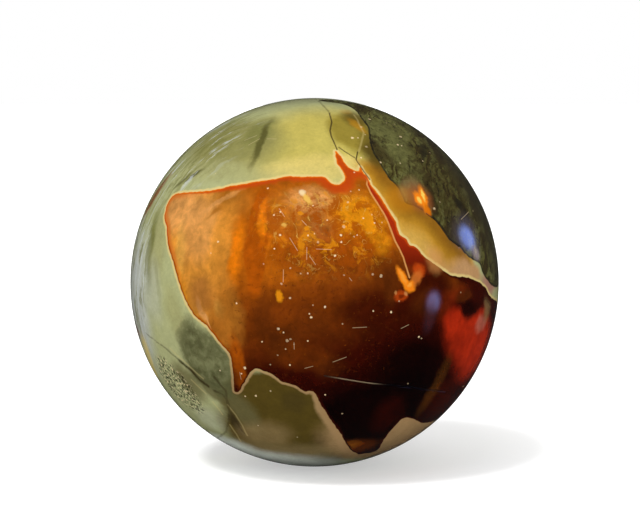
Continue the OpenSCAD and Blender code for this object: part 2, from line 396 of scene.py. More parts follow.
class JasperColours(bpy.types.PropertyGroup):
    """Colours of the stone, and of the highlights, glow and reflections painted on it."""

    sage: colour("Sage", "Ground of the green stone", 180, 182, 130)
    straw: colour("Straw", "Yellow-green ground at the crown", 198, 182, 92)
    primrose: colour("Primrose", "Pale ground above the amber field", 232, 208, 122)
    khaki: colour("Khaki", "Brownish green ground", 150, 132, 50)
    lichen: colour("Lichen", "Grey-green ground", 168, 166, 112)
    sedge: colour("Sedge", "Duller green ground at the left", 144, 140, 82)
    olive: colour("Olive", "Deeper green ground", 124, 124, 66)
    loam: colour("Loam", "Dark olive ground at the foot", 88, 72, 26)
    mould: colour("Mould", "Dark ground at the foot's left", 104, 96, 58)
    pewter: colour("Pewter", "Greyish crown", 158, 160, 120)
    # Partly painted reflection: the whitish flank stands for the room mirrored on the left limb.
    ash_and_sheen: colour("Ash and sheen", "Whitish flank", 196, 199, 188)
    # Painted reflection: light streaks of the room mirrored on the left limb.
    mirrored_streak: colour("Mirrored streaks", "White streaks on the flank", 214, 220, 218)
    # Painted reflection: the bright floor mirrored at the ball's foot, with the light it throws up.
    floor_reflection: colour("Floor reflection", "Cool grey-green foot", 232, 238, 224)
    shade: colour("Shade", "Dark green patch", 92, 92, 58)
    cream: colour("Cream", "Rim of a field", 230, 206, 134)
    beige: colour("Beige", "Wide rim of a field", 176, 142, 96)
    rose: colour("Rose", "Pinkish rim", 178, 130, 108)
    wheat: colour("Wheat", "Pale band beside the amber field", 214, 168, 78)
    ochre: colour("Ochre", "Yellow-brown in the pale band", 190, 136, 30)
    biscuit: colour("Biscuit", "Lower end of the pale band", 198, 152, 102)
    tan: colour("Tan", "Brown edge of the pale band", 134, 88, 22)
    clay: colour("Clay", "Brown patch in the dark stone", 148, 124, 80)
    moss: colour("Moss", "Dark green stone", 90, 86, 42)
    fern: colour("Fern", "Lighter green in the dark stone", 108, 108, 62)
    bark: colour("Bark", "Brown in the dark stone", 58, 48, 26)
    soot: colour("Soot", "Brown-black at the dark stone's far side", 60, 54, 40)
    coal: colour("Coal", "Black-green in the dark stone", 38, 34, 24)
    rust: colour("Rust", "Iron stain", 150, 84, 42)
    amber: colour("Amber", "Upper ground of the amber field", 176, 90, 10)
    umber: colour("Umber", "Middle ground of the amber field", 118, 52, 6)
    maroon: colour("Maroon", "Lower ground of the amber field", 54, 8, 1)
    night: colour("Night", "Darkest amber", 8, 1, 1)
    honey: colour("Honey", "Light amber", 206, 134, 46)
    peach: colour("Peach", "Pinkish light amber", 220, 154, 84)
    topaz: colour("Topaz", "Yellow amber", 236, 186, 84)
    gold: colour("Gold", "Golden amber", 222, 138, 14)
    orange: colour("Orange", "Bright amber", 220, 116, 8)
    ginger: colour("Ginger", "Outer edge of the light amber", 210, 112, 40)
    bronze: colour("Bronze", "Brown amber", 172, 104, 30)
    plum: colour("Plum", "Purplish brown amber", 150, 90, 44)
    russet: colour("Russet", "Red-brown amber", 166, 76, 4)
    mahogany: colour("Mahogany", "Dark brown amber", 84, 36, 5)
    scarlet: colour("Scarlet", "Red patch in the dark amber", 180, 42, 12)
    ember: colour("Ember", "Inner rim of the amber field", 196, 72, 14)
    oxblood: colour("Oxblood", "Red-brown strip beside the pale line", 170, 46, 12)
    # Painted highlight: the near-white cores of the brightest spots.
    highlight_core: colour("Highlight core", "Core of the brightest spots", 255, 212, 92)
    # Bright amber inclusions with a painted glow.
    flame: colour("Flame", "Bright spots", 252, 138, 22)
    # Painted highlight: light specks for the glints of tiny polishing pits, also laid faintly on the
    # scratches.
    glint: colour("Glint", "Light specks and scratches", 246, 220, 172)
    # Dark brown painted along the open cracks, over their grooves.
    crack: colour("Crack", "Dirt in the open cracks", 62, 42, 14)


class BallSettings(bpy.types.PropertyGroup):
    """Flaws and finish of the ball, as in the part's source."""

    crack_w: FloatProperty(
        name="Crack width", description="Width of a crack's mouth", default=0.35 * MM, unit="LENGTH"
    )
    crack_depth: FloatProperty(
        name="Crack depth", description="Depth of a crack's root", default=0.3 * MM, unit="LENGTH"
    )
    pocket_turn: FloatProperty(
        name="Pocket turn", description="Turn of the pitted pocket",
        default=math.radians(-56), unit="ROTATION",
    )
    pocket_rise: FloatProperty(
        name="Pocket rise", description="Rise of the pitted pocket",
        default=math.radians(-30), unit="ROTATION",
    )
    pocket_lean: FloatProperty(
        name="Pocket lean", description="Lean of its length to the left",
        default=math.radians(32), unit="ROTATION",
    )
    pocket_length: FloatProperty(
        name="Pocket length", description="Length of the pocket", default=13 * MM, unit="LENGTH"
    )
    pocket_width: FloatProperty(
        name="Pocket width", description="Width of the pocket", default=9 * MM, unit="LENGTH"
    )
    pit_count: IntProperty(name="Pits", description="Number of open pits in the pocket", default=60, min=1)
    pit_w: FloatProperty(
        name="Pit width", description="Mouth width of the widest pit", default=0.8 * MM, unit="LENGTH"
    )
    pit_depth: FloatProperty(
        name="Pit depth", description="Depth of the deepest pit", default=0.24 * MM, unit="LENGTH"
    )
    polish: FloatProperty(
        name="Polish", description="Roughness of the polished surface",
        default=0.05, min=0, max=1, subtype="FACTOR",
    )
    seed: IntProperty(name="Seed", description="Seed of the flecks on the far side", default=4)


class StageSettings(bpy.types.PropertyGroup):
    """Camera, floor and lamps."""

    eye_rise: FloatProperty(
        name="Eye rise", description="Height of the eye's line", default=math.radians(6), unit="ROTATION"
    )
    eye_distance: FloatProperty(
        name="Eye distance", description="From the ball's middle", default=11 * BALL_RADIUS, unit="LENGTH"
    )
    floor_size: FloatProperty(
        name="Floor size", description="Length of the floor's side", default=8, unit="LENGTH"
    )
    daylight: FloatProperty(
        name="Daylight", description="Strength of the even light from all round", default=0.7, min=0
    )
    key_strength: FloatProperty(
        name="Key light", description="Strength of the light from above", default=0.95, min=0
    )
    fill_strength: FloatProperty(
        name="Fill light", description="Strength of the light from the front", default=0.6, min=0
    )
    floor_strength: FloatProperty(
        name="Floor light", description="Strength of the light on the floor alone", default=3.5, min=0
    )
    floor_seen: FloatProperty(
        name="Seen floor", description="Paleness of the floor where it is seen", default=0.65, min=0, max=1
    )
    floor_bounce: FloatProperty(
        name="Floor's bounce", description="Paleness of the floor as the ball is lit by it",
        default=0.37, min=0, max=1,
    )
    floor_lift: FloatProperty(
        name="Floor's lift", description="Light that takes the seen floor up to white", default=0.45, min=0
    )
    room_light: FloatVectorProperty(
        name="Room light", description="Light of the dim room in the gloss",
        subtype="COLOR", size=3, default=(0.02, 0.021, 0.021),
    )


class Value:
    """A socket, on which Python's operators add Math nodes."""

    def __init__(self, nodes, socket):
        self.nodes = nodes
        self.socket = socket

    def __add__(self, other):
        return self.nodes.math("ADD", self, other)

    def __sub__(self, other):
        return self.nodes.math("SUBTRACT", self, other)

    def __rsub__(self, other):
        return self.nodes.math("SUBTRACT", other, self)

    def __mul__(self, other):
        return self.nodes.math("MULTIPLY", self, other)

    def __truediv__(self, other):
        return self.nodes.math("DIVIDE", self, other)

    def __neg__(self):
        return self.nodes.math("MULTIPLY", self, -1)

    __radd__ = __add__
    __rmul__ = __mul__


class Nodes:
    """A node tree that is written as expressions."""

    def __init__(self, tree):
        self.tree = tree
        tree.nodes.clear()

    def node(self, kind, settings=None, inputs=None, output=0):
        """Adds a node: first its settings, then the values or links of its sockets. Gives one output."""
        node = self.tree.nodes.new(kind)
        for name, value in (settings or {}).items():
            setattr(node, name, value)
        for key, value in (inputs or {}).items():
            socket = self.socket(node.inputs, key)
            if isinstance(value, Value):
                self.tree.links.new(value.socket, socket)
            else:
                socket.default_value = value
        return Value(self, self.socket(node.outputs, output)) if node.outputs else node

    @staticmethod
    def socket(sockets, key):
        """Finds a socket by its number, its identifier or its name."""
        if isinstance(key, int):
            return sockets[key]
        return next((s for s in sockets if s.identifier == key), None) or sockets[key]

    def math(self, operation, *values):
        return self.node("ShaderNodeMath", {"operation": operation}, dict(enumerate(values)))

    def vector(self, operation, *values, **inputs):
        """Vector Math: gives its vector."""
        return self.node(
            "ShaderNodeVectorMath", {"operation": operation}, {**dict(enumerate(values)), **inputs}, "Vector"
        )

    def length(self, vector):
        return self.node("ShaderNodeVectorMath", {"operation": "LENGTH"}, {0: vector}, "Value")

    def along(self, vector, direction):
        """How far a vector reaches in a direction."""
        return self.node(
            "ShaderNodeVectorMath", {"operation": "DOT_PRODUCT"}, {0: vector, 1: direction}, "Value"
        )

    def mix(self, share, under, over):
        """Lays one colour over another."""
        return self.node(
            "ShaderNodeMix",
            {"data_type": "RGBA"},
            {"Factor_Float": share, "A_Color": under, "B_Color": over},
            "Result_Color",
        )

    def smooth(self, value, low, high):
        """0 below low, 1 above high and a smooth step between."""
        return self.node(
            "ShaderNodeMapRange",
            {"interpolation_type": "SMOOTHSTEP", "clamp": False},
            {"Value": value, "From Min": low, "From Max": high},
        )


class Shader(Nodes):
    """A material's nodes, on places given as a share of the ball's radius."""

    def __init__(self, tree, colours=None):
        super().__init__(tree)
        self.colours = colours

    def paint(self, name):
        """A named colour of the stone, ready for a socket."""
        return (*getattr(self.colours, name), 1)

    def shade(self, paint, factor):
        """Multiplies a colour by a number."""
        return self.vector("SCALE", paint, Scale=factor)

    def noise(self, place, scale, detail=3, roughness=0.5, distortion=0, output="Fac"):
        return self.node(
            "ShaderNodeTexNoise",
            {},
            {
                "Vector": place,
                "Scale": scale,
                "Detail": detail,
                "Roughness": roughness,
                "Distortion": distortion,
            },
            output,
        )

    def warp(self, place, scale, reach):
        """Shifts places here and there, so that what is laid on them gets a ragged outline."""
        drift = self.vector("SUBTRACT", self.noise(place, scale, 5, 0.6, output="Color"), (0.5, 0.5, 0.5))
        return self.vector("ADD", place, self.vector("SCALE", drift, Scale=reach))

    def attribute(self, name):
        return self.node("ShaderNodeAttribute", {"attribute_name": name}, {}, "Fac")

    def dab(self, place, turn, rise, half_w, half_h, lean=0, softness=1):
        """A weight that is 1 in the middle of an oval on the ball, a half on its line and 0 outside it."""
        facing = self.node(
            "ShaderNodeVectorRotate",
            {"rotation_type": "EULER_XYZ", "invert": True},
            {"Vector": place, "Rotation": frame_at(turn, rise, lean).to_euler("XYZ")},
        )
        stretch = (1 / math.radians(half_w), DAB_FADE, 1 / math.radians(half_h))
        offset = self.vector("MULTIPLY_ADD", facing, stretch, (0, DAB_FADE, 0))
        return self.smooth(self.length(offset), 1 + softness / 2, 1 - softness / 2)

    def dabs(self, place, base, dabs):
        """Lays soft dabs of colour over a base, in order."""
        for name, turn, rise, half_w, half_h, lean, softness, strength in dabs:
            weight = self.dab(place, turn, rise, half_w, half_h, lean, softness)
            base = self.mix(weight * strength, base, self.paint(name))
        return base


def towards(turn, rise):
    """Unit vector from the ball's middle to a place."""
    t, r = math.radians(turn), math.radians(rise)
    return Vector((math.sin(t) * math.cos(r), -math.cos(t) * math.cos(r), math.sin(r)))


def frame_at(turn, rise, lean=0):
    """Rotation that takes the face to a place, and leans it to the left."""
    return (
        Matrix.Rotation(math.radians(turn), 3, "Z")
        @ Matrix.Rotation(math.radians(-rise), 3, "X")
        @ Matrix.Rotation(math.radians(-lean), 3, "Y")
    )


def on_ball(points):
    return points / np.linalg.norm(points, axis=1, keepdims=True)


def outline_points(places, steps=4):
    """A smooth closed curve through the places, as unit vectors."""
    corners = np.array([towards(*place) for place in places])
    before, after, beyond = (np.roll(corners, shift, axis=0) for shift in (1, -1, -2))
    shares = (np.arange(steps) / steps)[None, :, None]
    a, b, c, d = (corner[:, None, :] for corner in (before, corners, after, beyond))
    curve = 0.5 * (
        2 * b
        + (c - a) * shares
        + (2 * a - 5 * b + 4 * c - d) * shares**2
        + (3 * b - a - 3 * c + d) * shares**3
    )
    return on_ball(curve.reshape(-1, 3))


def line_points(places, step=1.0):
    """Points about step degrees apart along the straight runs between places, as unit vectors."""
    points = [np.array(towards(*places[0]))]
    for start, end in zip(places, places[1:]):
        a, b = np.array(towards(*start)), np.array(towards(*end))
        count = max(1, round(math.degrees(math.acos(min(1, a @ b))) / step))
        points += [a + (b - a) * (i + 1) / count for i in range(count)]
    return on_ball(np.array(points))


def distance_to_runs(points, starts, ends):
    """Shortest distance from each point to any of the runs."""
    nearest = np.full(len(points), np.inf)
    for start, run in zip(starts, ends - starts):
        offset = points - start
        share = np.clip(offset @ run / (run @ run), 0, 1)
        gap = offset - share[:, None] * run
        nearest = np.minimum(nearest, np.einsum("ij,ij->i", gap, gap))
    return np.sqrt(nearest)


def depth_in_outline(points, outline):
    """Distance from each point to a closed outline, positive inside it."""
    ends = np.roll(outline, -1, axis=0)
    winding = np.zeros(len(points))
    for start, end in zip(outline, ends):
        winding += np.arctan2(points @ np.cross(start, end), start @ end - (points @ start) * (points @ end))
    way_round = np.sign(np.cross(outline, ends).sum(axis=0) @ outline.mean(axis=0))
    inside = winding * way_round > math.pi
    gap = distance_to_runs(points, outline, ends)
    return np.where(inside, gap, -gap)


def depth_in_field(points, *edges):
    """Distance to a field that may lie in several outlines, in millimetres, positive inside."""
    depths = [depth_in_outline(points, outline_points(edge)) for edge in edges]
    return np.maximum.reduce(depths) * BALL_RADIUS / MM


def distance_to_lines(points, lines):
    """Distance to the nearest of several lines, in millimetres."""
    runs = [line_points(line) for line in lines]
    starts = np.concatenate([run[:-1] for run in runs])
    ends = np.concatenate([run[1:] for run in runs])
    return distance_to_runs(points, starts, ends) * BALL_RADIUS / MM


def glint_places(seed):
    """Middles and radii of all painted glints: those listed, and a scatter on the far side."""
    middles = [towards(*place) for places in GLINTS.values() for place in places]
    radii = [radius for radius, places in GLINTS.items() for _ in places]
    rng = np.random.default_rng(seed)
    while len(middles) < GLINT_COUNT:
        place = Vector(rng.normal(size=3)).normalized()
        if place.y > FAR_SIDE:
            middles.append(place)
            radii.append(rng.choice(FAR_GLINT_RADII))
    return np.array(middles), np.array(radii)


def refine(bm, groups, rounds=3):
    """Splits the edges near each group of (points, reach, edge length), and puts new corners on the ball."""
    trees = []
    for points, reach, edge_length in groups:
        tree = KDTree(len(points))
        for i, point in enumerate(points):
            tree.insert(Vector(point) * BALL_RADIUS, i)
        tree.balance()
        trees.append((tree, reach * MM, edge_length * MM))
    for _ in range(rounds):
        long_edges = []
        for edge in bm.edges:
            middle = (edge.verts[0].co + edge.verts[1].co) / 2
            length = edge.calc_length()
            for tree, reach, edge_length in trees:
                outside = max(0, tree.find(middle)[2] - reach)
                if length > EDGE_SLACK * (edge_length + EDGE_GROWTH * outside):
                    long_edges.append(edge)
                    break
        bmesh.ops.subdivide_edges(bm, edges=long_edges, cuts=1)
        bmesh.ops.triangulate(bm, faces=[face for face in bm.faces if len(face.verts) > 3])
        for corner in bm.verts:
            corner.co = corner.co.normalized() * BALL_RADIUS


def ball_mesh(settings):
    """The bare ball: an even mesh that is finer where the stone's lines, the painted glints and the pits are.
    """
    pocket_angles = (settings.pocket_turn, settings.pocket_rise, settings.pocket_lean)
    pocket = frame_at(*(math.degrees(angle) for angle in pocket_angles))
    half_w = settings.pocket_width / 2 / BALL_RADIUS
    half_h = settings.pocket_length / 2 / BALL_RADIUS
    rings, spokes = (0, 0.3, 0.6, 0.9), 13
    oval = [
        pocket @ Vector((reach * half_w * math.cos(a), -1, reach * half_h * math.sin(a))).normalized()
        for reach in rings
        for a in np.linspace(0, 2 * math.pi, spokes)
    ]
    fine_lines = np.concatenate([line_points(line, 0.3) for line in (*CRACKS, *SCRATCHES, *PALE_LINES)])
    glints, _ = glint_places(settings.seed)
    edges = [AMBER_EDGE, FAR_AMBER_EDGE, MOSS_EDGE, FAR_MOSS_EDGE, SELVAGE_EDGE]
    edge_points = np.concatenate([outline_points(edge) for edge in edges])
    seams = np.concatenate([line_points(line) for line in SEAMS])
    bm = bmesh.new()
    bmesh.ops.create_icosphere(bm, subdivisions=BALL_SUBDIVISIONS, radius=BALL_RADIUS)
    refine(bm, [
        (fine_lines, *FINE_LINE_DETAIL),
        (glints, *GLINT_DETAIL),
        (oval, *PIT_DETAIL),
        (np.concatenate([edge_points, seams]), *EDGE_DETAIL),
    ])
    for face in bm.faces:
        face.smooth = True
    mesh = bpy.data.meshes.new("ball_surface")
    bm.to_mesh(mesh)
    bm.free()
    return mesh


def store(mesh, name, values):
    """Keeps one number for each corner of the mesh."""
    mesh.attributes.new(name, "FLOAT", "POINT").data.foreach_set("value", values.astype(np.float32))


def store_fields(mesh, settings):
    """Keeps, for each corner, its distances to the fields' edges and to each kind of fine mark."""
    flat = np.empty(len(mesh.vertices) * 3)
    mesh.vertices.foreach_get("co", flat)
    points = on_ball(flat.reshape(-1, 3))
    store(mesh, "amber", depth_in_field(points, AMBER_EDGE, FAR_AMBER_EDGE))
    store(mesh, "moss", depth_in_field(points, MOSS_EDGE, FAR_MOSS_EDGE))
    store(mesh, "shade", depth_in_field(points, SHADE_EDGE))
    store(mesh, "selvage", depth_in_field(points, SELVAGE_EDGE))
    store(mesh, "pale_line", distance_to_lines(points, PALE_LINES))
    store(mesh, "seam", distance_to_lines(points, SEAMS))
    store(mesh, "scratch", distance_to_lines(points, SCRATCHES))
    middles, radii = glint_places(settings.seed)
    nearest = np.full(len(points), np.inf)
    for middle, radius in zip(middles, radii):
        nearest = np.minimum(nearest, np.linalg.norm(points - middle, axis=1) * BALL_RADIUS / MM / radius)
    store(mesh, "glint", np.minimum(nearest, FAR_AWAY))


def crack_lines():
    """The cracks' lines on the ball, as a mesh of edges."""
    corners, edges = [], []
    for crack in CRACKS:
        run = line_points(crack) * BALL_RADIUS
        edges += [(len(corners) + i, len(corners) + i + 1) for i in range(len(run) - 1)]
        corners += [tuple(point) for point in run]
    mesh = bpy.data.meshes.new("crack_lines")
    mesh.from_pydata(corners, edges, [])
    return bpy.data.objects.new("crack_lines", mesh)


def flaw_tree(material):
    """Geometry nodes that sink the open cracks and the pocket of pits into the ball."""
    tree = bpy.data.node_groups.new("Open flaws", "GeometryNodeTree")
    nodes = Nodes(tree)
    tree.interface.new_socket("Ball", in_out="INPUT", socket_type="NodeSocketGeometry")
    tree.interface.new_socket("Crack lines", in_out="INPUT", socket_type="NodeSocketObject")
    sizes = (
        "Crack width", "Crack depth", "Pocket turn", "Pocket rise", "Pocket lean", "Pocket length",
        "Pocket width", "Pit width", "Pit depth", "Ball radius",
    )
    for name in sizes:
        tree.interface.new_socket(name, in_out="INPUT", socket_type="NodeSocketFloat")
    tree.interface.new_socket("Pit count", in_out="INPUT", socket_type="NodeSocketInt")
    tree.interface.new_socket("Ball", in_out="OUTPUT", socket_type="NodeSocketGeometry")
    group = tree.nodes.new("NodeGroupInput")

    def given(name):
        return Value(nodes, group.outputs[name])

    place = nodes.node("GeometryNodeInputPosition")
    lines = nodes.node("GeometryNodeObjectInfo", {}, {"Object": given("Crack lines")}, "Geometry")
    crack_gap = nodes.node(
        "GeometryNodeProximity", {"target_element": "EDGES"}, {0: lines, "Sample Position": place}, "Distance"
    )
    crack_share = nodes.math("MAXIMUM", 1 - crack_gap / (given("Crack width") * 0.5), 0)
    groove = crack_share * given("Crack depth")

    # Pits lie on a golden-angle spiral that fills the pocket's oval, and differ in size
    number = nodes.node("GeometryNodeInputIndex")
    reach = nodes.math("SQRT", (number + 0.5) / given("Pit count"))
    spin = number * PIT_TURN
    across = reach * nodes.math("COSINE", spin) * given("Pocket width") / (given("Ball radius") * 2)
    along = reach * nodes.math("SINE", spin) * given("Pocket length") / (given("Ball radius") * 2)
    level = nodes.math("COSINE", along)
    in_oval = nodes.node(
        "ShaderNodeCombineXYZ", {},
        {"X": nodes.math("SINE", across) * level, "Y": -nodes.math("COSINE", across) * level,
         "Z": nodes.math("SINE", along)},
    )
    lean = nodes.node("ShaderNodeCombineXYZ", {}, {"Y": -given("Pocket lean")})
    turn = nodes.node("ShaderNodeCombineXYZ", {}, {"X": -given("Pocket rise"), "Z": given("Pocket turn")})
    euler = {"rotation_type": "EULER_XYZ"}
    leaning = nodes.node("ShaderNodeVectorRotate", euler, {"Vector": in_oval, "Rotation": lean})
    on_unit = nodes.node("ShaderNodeVectorRotate", euler, {"Vector": leaning, "Rotation": turn})
    spots = nodes.node(
        "GeometryNodePoints", {},
        {"Count": given("Pit count"), "Position": nodes.vector("SCALE", on_unit, Scale=given("Ball radius"))},
    )
    nearest = nodes.node("GeometryNodeSampleNearest", {}, {"Geometry": spots, "Sample Position": place})
    middle = nodes.node(
        "GeometryNodeSampleIndex", {"data_type": "FLOAT_VECTOR"},
        {"Geometry": spots, "Value": place, "Index": nearest},
    )
    variety = nodes.math("ABSOLUTE", nodes.math("SINE", nearest * PIT_SIZE_TURN))
    pit_size = PIT_LEAST + (1 - PIT_LEAST) * variety
    pit_gap = nodes.length(nodes.vector("SUBTRACT", place, middle))
    pit_reach = pit_gap / (given("Pit width") * pit_size * 0.5)
    dish = nodes.math("MAXIMUM", 1 - pit_reach * pit_reach, 0) * given("Pit depth") * pit_size

    sunk = nodes.vector("SCALE", nodes.vector("NORMALIZE", place), Scale=-nodes.math("MAXIMUM", groove, dish))
    result = Value(nodes, group.outputs["Ball"])
    for name, value in (("crack", crack_gap / MM), ("pit", nodes.math("MINIMUM", pit_reach, FAR_AWAY))):
        result = nodes.node(
            "GeometryNodeStoreNamedAttribute", {"data_type": "FLOAT", "domain": "POINT"},
            {"Geometry": result, "Name": name, "Value": value},
        )
    result = nodes.node("GeometryNodeSetPosition", {}, {"Geometry": result, "Offset": sunk})
    result = nodes.node("GeometryNodeRealizeInstances", {}, {"Geometry": result})
    result = nodes.node("GeometryNodeSetMaterial", {}, {"Geometry": result, "Material": material})
    tree.links.new(result.socket, tree.nodes.new("NodeGroupOutput").inputs[0])
    return tree


def with_flaws(mesh, settings, material):
    """The ball's mesh with its cracks and pits sunk in, as a plain mesh."""
    scene = bpy.context.scene
    bare = bpy.data.objects.new("bare_ball", mesh)
    lines = crack_lines()
    scene.collection.objects.link(bare)
    scene.collection.objects.link(lines)
    modifier = bare.modifiers.new("Open flaws", "NODES")
    modifier.node_group = flaw_tree(material)
    values = {
        "Crack lines": lines,
        "Crack width": settings.crack_w,
        "Crack depth": settings.crack_depth,
        "Pocket turn": settings.pocket_turn,
        "Pocket rise": settings.pocket_rise,
        "Pocket lean": settings.pocket_lean,
        "Pocket length": settings.pocket_length,
        "Pocket width": settings.pocket_width,
        "Pit width": settings.pit_w,
        "Pit depth": settings.pit_depth,
        "Ball radius": BALL_RADIUS,
        "Pit count": settings.pit_count,
    }
    for item in modifier.node_group.interface.items_tree:
        if item.in_out == "INPUT" and item.name in values:
            modifier[item.identifier] = values[item.name]
    graph = bpy.context.evaluated_depsgraph_get()
    result = bpy.data.meshes.new_from_object(
        bare.evaluated_get(graph), preserve_all_data_layers=True, depsgraph=graph
    )
    bare.modifiers.remove(modifier)
    bpy.data.objects.remove(bare)
    bpy.data.objects.remove(lines)
    return result


def amber_paint(shader, place, wobble):
    """Colour inside the amber fields."""
    depth = shader.attribute("amber") + wobble
    height = shader.node("ShaderNodeSeparateXYZ", {}, {0: place}, "Z")
    slant = shader.along(place, (-0.25, 0, 1))
    paint = shader.mix(shader.smooth(slant, 0.32, 0), shader.paint("amber"), shader.paint("umber"))
    paint = shader.mix(shader.smooth(slant, 0.03, -0.36), paint, shader.paint("maroon"))
    paint = shader.dabs(place, paint, AMBER_DABS)
    cloud = shader.noise(place, 7, 5, 0.6)
    grain = shader.noise(place, 26, 4, 0.6)
    upright = shader.node("ShaderNodeMapping", {}, {"Vector": place, "Scale": (22, 22, 2.2)})
    streaks = shader.noise(upright, 1, 3, 0.5)
    golden = shader.dab(place, 5, 22, 20, 12, 0, 0.9)
    paint = shader.shade(paint, 0.45 + 1.1 * cloud)
    paint = shader.shade(paint, 1 + (grain - 0.5) * (0.9 + 0.8 * golden))
    paint = shader.shade(paint, 0.75 + 0.5 * streaks)
    veil = shader.noise(place, 12, 6, 0.7, 0.5)
    paint = shader.mix(golden * shader.smooth(veil, 0.52, 0.4) * 0.85, paint, shader.paint("russet"))
    paint = shader.mix(golden * shader.smooth(veil, 0.52, 0.62) * 0.75, paint, shader.paint("gold"))
    curls = shader.math("ABSOLUTE", shader.noise(place, 10, 3, 0.5, 1) - 0.5) + 0.1 * grain
    paint = shader.mix(golden * shader.smooth(curls, 0.064, 0.04) * 0.5, paint, shader.paint("topaz"))
    middle = shader.dab(place, -2, -6, 26, 20, 0, 0.8)
    specks = shader.noise(place, 44, 3, 0.6)
    paint = shader.mix(middle * shader.smooth(specks, 0.42, 0.32) * 0.6, paint, shader.paint("mahogany"))
    paint = shader.mix(middle * shader.smooth(specks, 0.66, 0.76) * 0.2, paint, shader.paint("orange"))
    outer = shader.dab(place, -56, 14, 12, 24, 8, 0.6)
    paint = shader.mix(outer * shader.smooth(depth, 1.6, 0.5) * 0.8, paint, shader.paint("ginger"))
    selvage = shader.attribute("selvage") + wobble * 0.5
    strip = shader.mix(shader.smooth(height, 0.4, 0.1) * 0.8, shader.paint("oxblood"), shader.paint("maroon"))
    paint = shader.mix(shader.smooth(selvage, -0.06, 0.06) * shader.smooth(height, 0.1, 0.2), paint, strip)
    pale = shader.smooth(shader.attribute("pale_line") + wobble * 0.3, 0.24, 0.08)
    paint = shader.mix(pale * 0.9, paint, shader.paint("peach"))
    rim_w = 0.3 + 0.6 * shader.dab(place, -12, 36, 20, 6, 0, 1)
    rim_w = rim_w + 1.5 * shader.dab(place, 10, 38, 6, 6, 0, 0.8)
    rim_w = (rim_w + shader.dab(place, 62, 0, 26, 8, 12, 0.6)) * (0.4 + 1.2 * cloud)
    low = shader.smooth(height, 0.32, 0.1)
    glow = shader.smooth(depth, 0.35, 0) * shader.smooth(height, 0.3, 0.5)
    rim = shader.mix(low, shader.paint("ember"), shader.paint("maroon"))
    rim = shader.mix(shader.dab(place, -40, -2, 14, 22, 25, 0.8) * 0.85, rim, shader.paint("russet"))
    rim = shader.shade(rim, 0.7 + 0.6 * cloud)
    rim = shader.mix(glow * 0.7, rim, shader.paint("flame"))
    paint = shader.mix(shader.smooth(depth / rim_w, 1.9, 0.4), paint, rim)
    return paint, depth


def ground_paint(shader, place, wobble, depth):
    """Colour of the green ground, with its rim beside the amber fields."""
    mottle = shader.noise(place, 14, 6, 0.65)
    paint = shader.dabs(place, shader.paint("sage"), GROUND_DABS)
    beside = shader.attribute("moss") + wobble * 2
    band = shader.dab(place, 35, 24, 11, 25, 42, 0.3)
    paint = shader.mix(band * shader.smooth(beside, -6.5, -2.6) * 0.9, paint, shader.paint("ochre"))
    paint = shader.mix(band * shader.smooth(beside, -4.4, -0.8) * 0.85, paint, shader.paint("tan"))
    biscuit = shader.dab(place, 53, 7, 11, 5, 12, 0.8) * shader.smooth(beside, -0.2, -1.6)
    paint = shader.mix(biscuit, paint, shader.paint("biscuit"))
    border = shader.dab(place, 26, 46, 3.5, 6, 10, 1)
    paint = shader.mix(border * 0.8, paint, shader.paint("loam"))
    shade = shader.attribute("shade") + (mottle - 0.5) * 6
    paint = shader.mix(shader.smooth(shade, -1.3, 1.3) * (1.4 - mottle), paint, shader.paint("shade"))
    # Painted reflection: pale streaks that follow the curve of the left limb stand for the room mirrored in
    # the polish, with darker olive streaks between them.
    round_limb = shader.node("ShaderNodeMapping", {}, {"Vector": place, "Scale": (5, 34, 5)})
    hair = shader.noise(round_limb, 1, 5, 0.65)
    low_flank = shader.dab(place, -76, 2, 13, 24, 0, 0.6)
    high_flank = shader.dab(place, -70, 45, 18, 22, -20, 0.8)
    flank = shader.math("MAXIMUM", low_flank, high_flank * 0.8)
    paint = shader.mix(flank * shader.smooth(hair, 0.48, 0.38) * 0.8, paint, shader.paint("olive"))
    paint = shader.mix(flank * shader.smooth(hair, 0.54, 0.64) * 0.9, paint, shader.paint("mirrored_streak"))
    paint = shader.shade(paint, 0.76 + 0.48 * mottle)
    fine = shader.noise(place, 60, 4, 0.7)
    paint = shader.shade(paint, 0.8 + 0.4 * fine)
    halo_w = 0.55 + 1.1 * shader.dab(place, 8, -45, 10, 16, 20, 0.7)
    halo = shader.smooth(-depth / halo_w, 1.15, 0.5)
    foot = shader.smooth(shader.node("ShaderNodeSeparateXYZ", {}, {0: place}, "Z"), -0.05, -0.45)
    rim = shader.mix(foot, shader.paint("cream"), shader.paint("beige"))
    paint = shader.mix(halo * 0.9, paint, rim)
    pale = shader.smooth(shader.attribute("pale_line") + wobble * 0.3, 0.3, 0.05)
    return shader.mix(pale * 0.25, paint, shader.paint("cream"))


def moss_paint(shader, place):
    """Colour of the dark green field."""
    leaning = frame_at(-40, 0, -30).to_euler()
    fibres = shader.node(
        "ShaderNodeMapping", {}, {"Vector": place, "Rotation": leaning, "Scale": (22, 6, 7)}
    )
    plume = shader.noise(fibres, 1, 6, 0.6, 1.2)
    paint = shader.mix(shader.smooth(plume, 0.42, 0.56), shader.paint("bark"), shader.paint("moss"))
    paint = shader.mix(shader.smooth(plume, 0.51, 0.64), paint, shader.paint("fern"))
    paint = shader.dabs(place, paint, MOSS_DABS)
    veins = shader.smooth(shader.noise(place, 11, 5, 0.7, 0.6), 0.46, 0.38)
    paint = shader.mix(veins * 0.7, paint, shader.paint("bark"))
    grain = shader.noise(place, 40, 5, 0.7)
    strokes = shader.noise(fibres, 2.4, 5, 0.7, 0.8)
    paint = shader.mix(shader.smooth(strokes, 0.44, 0.34) * 0.8, paint, shader.paint("coal"))
    return shader.shade(paint, 0.05 + 1.85 * grain)


